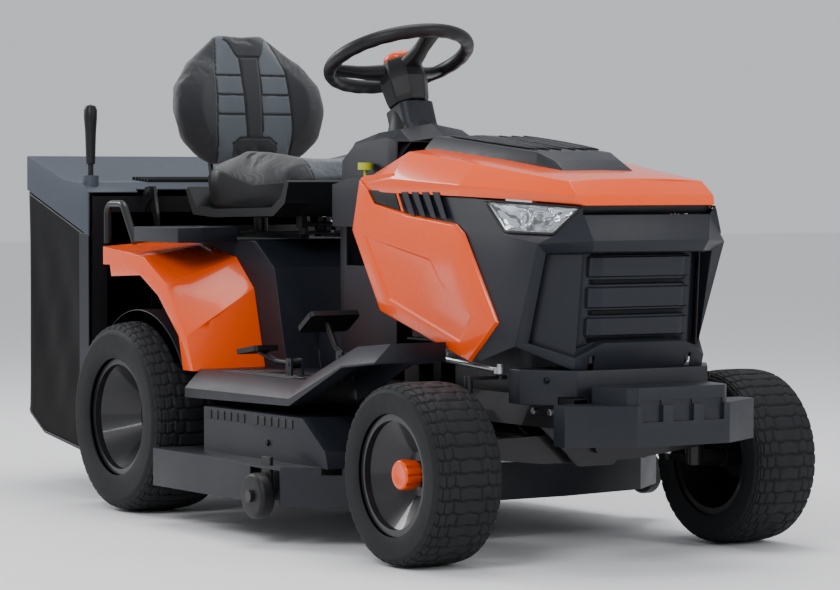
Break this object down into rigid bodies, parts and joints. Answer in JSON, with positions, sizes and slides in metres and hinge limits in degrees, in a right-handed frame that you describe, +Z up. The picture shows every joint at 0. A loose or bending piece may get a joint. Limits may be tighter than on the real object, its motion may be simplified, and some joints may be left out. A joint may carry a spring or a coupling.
{
  "type": "lawn tractor",
  "caption": "Ride-on lawn tractor with steering wheel, hinged hood, under-body mower deck and rear grass catcher.",
  "frame": {"origin": "on the ground under the middle of the machine's box", "axes": "+X forward, +Y to the driver's left, +Z up"},
  "size_m": [2.49, 1.096, 1.1757],
  "materials": {
    "orange_body": "gloss orange body panels",
    "dark_body": "satin dark blue-grey body plastic",
    "lid_grey": "satin light grey plastic",
    "black_steel": "black painted steel",
    "zinc_steel": "zinc plated steel",
    "engine_metal": "cast aluminium",
    "tyre_rubber": "black turf tyre rubber",
    "rim_black": "satin black rim",
    "belt_rubber": "black rubber",
    "black_plastic": "black moulded plastic",
    "grip": "soft black grip",
    "seat_fabric": "charcoal woven seat cover with grey strips",
    "bag_fabric": "black coated mesh",
    "lens": "clear lamp lens",
    "knob_yellow": "yellow-green knob"
  },
  "bodies": {
    "chassis": {"frame": "black_steel", "transaxle": "engine_metal", "engine": "engine_metal", "muffler": "black_steel", "tank_and_battery": "black_plastic", "belt_drive": "belt_rubber", "grass_chute": "black_plastic", "rear_body": "dark_body", "fenders": "orange_body", "storage_trays": "dark_body", "grab_handles": "black_steel", "footboards": "dark_body", "dash_tower": "dark_body", "bumper_cover": "dark_body", "bumper_guard": "dark_body"},
    "hood": {"hood_shell": "orange_body", "hood_scoop": "dark_body", "side_panels": "orange_body", "hood_fascia": "dark_body", "grille": "dark_body", "headlights": "lens"},
    "catcher": {"catcher_frame": "black_steel", "catcher_lid": "lid_grey", "catcher_bag": "bag_fabric"},
    "dump_lever": {"dump_lever": "grip"},
    "steering_wheel": {"steering_wheel": "grip", "steering_cap": "orange_body"},
    "lower_shaft": {"lower_shaft": "zinc_steel"},
    "sector_gear": {"sector_gear": "zinc_steel"},
    "link_fork": {"link_fork": "zinc_steel"},
    "drag_link": {"drag_link": "zinc_steel"},
    "front_axle": {"axle_beam": "black_steel"},
    "tie_rod": {"tie_rod": "zinc_steel"},
    "seat_base": {"seat_base": "black_steel"},
    "seat": {"seat_pan": "black_plastic", "seat_cushion": "seat_fabric", "seat_back": "seat_fabric"},
    "deck": {"deck_shell": "black_steel", "deck_cover": "dark_body"},
    "forward_pedal": {"forward_pedal": "black_plastic"},
    "reverse_pedal": {"reverse_pedal": "black_plastic"},
    "brake_pedal": {"brake_pedal": "black_plastic"},
    "throttle_lever": {"throttle_lever": "black_plastic"},
    "blade_knob": {"blade_knob": "knob_yellow"},
    "knuckle_right": {"knuckle_right": "black_steel"},
    "front_wheel_right": {"front_tyre_right": "tyre_rubber", "front_rim_right": "rim_black", "hub_cap_right": "orange_body"},
    "rear_wheel_right": {"rear_tyre_right": "tyre_rubber", "rear_rim_right": "rim_black"},
    "blade_right": {"blade_right": "zinc_steel"},
    "gauge_wheel_right": {"gauge_wheel_right": "black_plastic"},
    "knuckle_left": {"knuckle_left": "black_steel"},
    "front_wheel_left": {"front_tyre_left": "tyre_rubber", "front_rim_left": "rim_black", "hub_cap_left": "orange_body"},
    "rear_wheel_left": {"rear_tyre_left": "tyre_rubber", "rear_rim_left": "rim_black"},
    "blade_left": {"blade_left": "zinc_steel"},
    "gauge_wheel_left": {"gauge_wheel_left": "black_plastic"}
  },
  "joints": [
    {"name": "hood_hinge", "type": "hinge", "parent": "chassis", "child": "hood", "pos_m": [1.083, 0, 0.432], "axis": [0, 1, 0], "range_deg": [0, 60]},
    {"name": "catcher_hinge", "type": "hinge", "parent": "chassis", "child": "catcher", "pos_m": [-0.669, 0, 0.765], "axis": [0, 1, 0], "range_deg": [0, 70]},
    {"name": "dump_lever_slide", "type": "slide", "parent": "catcher", "child": "dump_lever", "axis": [0, 0, 1], "range_m": [0, 0.2]},
    {"name": "axle_swing", "type": "hinge", "parent": "chassis", "child": "front_axle", "pos_m": [0.893, 0, 0.228], "axis": [1, 0, 0], "range_deg": [-5, 5]},
    {"name": "steer_right", "type": "hinge", "parent": "front_axle", "child": "knuckle_right", "pos_m": [0.893, -0.295, 0.2], "axis": [0, 0, 1], "range_deg": [-30, 30]},
    {"name": "front_wheel_right_spin", "type": "hinge", "parent": "knuckle_right", "child": "front_wheel_right", "pos_m": [0.893, -0.409, 0.1905], "axis": [0, 1, 0], "continuous": true},
    {"name": "steer_left", "type": "hinge", "parent": "front_axle", "child": "knuckle_left", "pos_m": [0.893, 0.295, 0.2], "axis": [0, 0, 1], "range_deg": [-30, 30]},
    {"name": "front_wheel_left_spin", "type": "hinge", "parent": "knuckle_left", "child": "front_wheel_left", "pos_m": [0.893, 0.409, 0.1905], "axis": [0, 1, 0], "continuous": true},
    {"name": "tie_rod_pivot", "type": "hinge", "parent": "knuckle_right", "child": "tie_rod", "pos_m": [0.803, -0.295, 0.2], "axis": [0, 0, 1], "range_deg": [-30, 30]},
    {"name": "sector_turn", "type": "hinge", "parent": "chassis", "child": "sector_gear", "pos_m": [0.47788, -0.10431, 0.404], "axis": [0, 0, 1], "range_deg": [-24, 24]},
    {"name": "link_fork_turn", "type": "hinge", "parent": "sector_gear", "child": "link_fork", "pos_m": [0.47788, -0.215, 0.404], "axis": [0, 0, 1], "range_deg": [-24, 24]},
    {"name": "drag_link_pitch", "type": "hinge", "parent": "link_fork", "child": "drag_link", "pos_m": [0.47788, -0.215, 0.424], "axis": [0, 1, 0], "range_deg": [-4, 4]},
    {"name": "lower_shaft_turn", "type": "hinge", "parent": "chassis", "child": "lower_shaft", "pos_m": [0.35788, 0, 0.45], "axis": [0, 0, 1], "range_deg": [-215, 215]},
    {"name": "steering_wheel_turn", "type": "hinge", "parent": "chassis", "child": "steering_wheel", "pos_m": [0.35788, 0, 0.56], "axis": [-0.3746, 0, 0.9272], "range_deg": [-215, 215]},
    {"name": "rear_wheel_right_spin", "type": "hinge", "parent": "chassis", "child": "rear_wheel_right", "pos_m": [-0.395, -0.363, 0.2286], "axis": [0, 1, 0], "continuous": true},
    {"name": "rear_wheel_left_spin", "type": "hinge", "parent": "chassis", "child": "rear_wheel_left", "pos_m": [-0.395, 0.363, 0.2286], "axis": [0, 1, 0], "continuous": true},
    {"name": "seat_slide", "type": "slide", "parent": "chassis", "child": "seat_base", "axis": [1, 0, 0], "range_m": [-0.04, 0.05]},
    {"name": "seat_tilt", "type": "hinge", "parent": "seat_base", "child": "seat", "pos_m": [-0.073, 0, 0.692], "axis": [0, 1, 0], "range_deg": [0, 36]},
    {"name": "deck_lift", "type": "slide", "parent": "chassis", "child": "deck", "axis": [0, 0, 1], "range_m": [-0.05, 0]},
    {"name": "blade_right_spin", "type": "hinge", "parent": "deck", "child": "blade_right", "pos_m": [0.255, -0.228, 0.12], "axis": [0, 0, 1], "continuous": true},
    {"name": "gauge_wheel_right_spin", "type": "hinge", "parent": "deck", "child": "gauge_wheel_right", "pos_m": [0.405, -0.522, 0.11], "axis": [0, 1, 0], "continuous": true},
    {"name": "blade_left_spin", "type": "hinge", "parent": "deck", "child": "blade_left", "pos_m": [0.255, 0.228, 0.12], "axis": [0, 0, 1], "continuous": true},
    {"name": "gauge_wheel_left_spin", "type": "hinge", "parent": "deck", "child": "gauge_wheel_left", "pos_m": [0.405, 0.522, 0.11], "axis": [0, 1, 0], "continuous": true},
    {"name": "forward_pedal_press", "type": "hinge", "parent": "chassis", "child": "forward_pedal", "pos_m": [0.405, -0.3, 0.406], "axis": [0, 1, 0], "range_deg": [-18, 0], "stiffness_Nm_per_rad": 6, "springref_deg": 17.19},
    {"name": "brake_pedal_press", "type": "hinge", "parent": "chassis", "child": "brake_pedal", "pos_m": [0.405, 0.3, 0.406], "axis": [0, 1, 0], "range_deg": [-18, 0], "stiffness_Nm_per_rad": 6, "springref_deg": 17.19},
    {"name": "reverse_pedal_press", "type": "hinge", "parent": "chassis", "child": "reverse_pedal", "pos_m": [0.245, -0.336, 0.384], "axis": [0, 1, 0], "range_deg": [-8, 0], "stiffness_Nm_per_rad": 6, "springref_deg": 17.19},
    {"name": "throttle_swing", "type": "hinge", "parent": "chassis", "child": "throttle_lever", "pos_m": [0.245, 0.15, 0.814], "axis": [0, 1, 0], "range_deg": [-30, 30]},
    {"name": "blade_knob_pull", "type": "slide", "parent": "chassis", "child": "blade_knob", "axis": [0, 0, 1], "range_m": [0, 0.015]}
  ],
  "couplings": [
    {"joint": "steer_left", "follows": "steer_right", "ratio": 1},
    {"joint": "tie_rod_pivot", "follows": "steer_right", "ratio": -1},
    {"joint": "sector_turn", "follows": "steer_right", "ratio": -0.72275},
    {"joint": "link_fork_turn", "follows": "steer_right", "ratio": 0.72275},
    {"joint": "lower_shaft_turn", "follows": "steer_right", "ratio": 6.9384},
    {"joint": "steering_wheel_turn", "follows": "steer_right", "ratio": 6.9384},
    {"joint": "drag_link_pitch", "follows": "axle_swing", "ratio": 0.51792},
    {"joint": "blade_left_spin", "follows": "blade_right_spin", "ratio": -1}
  ]
}
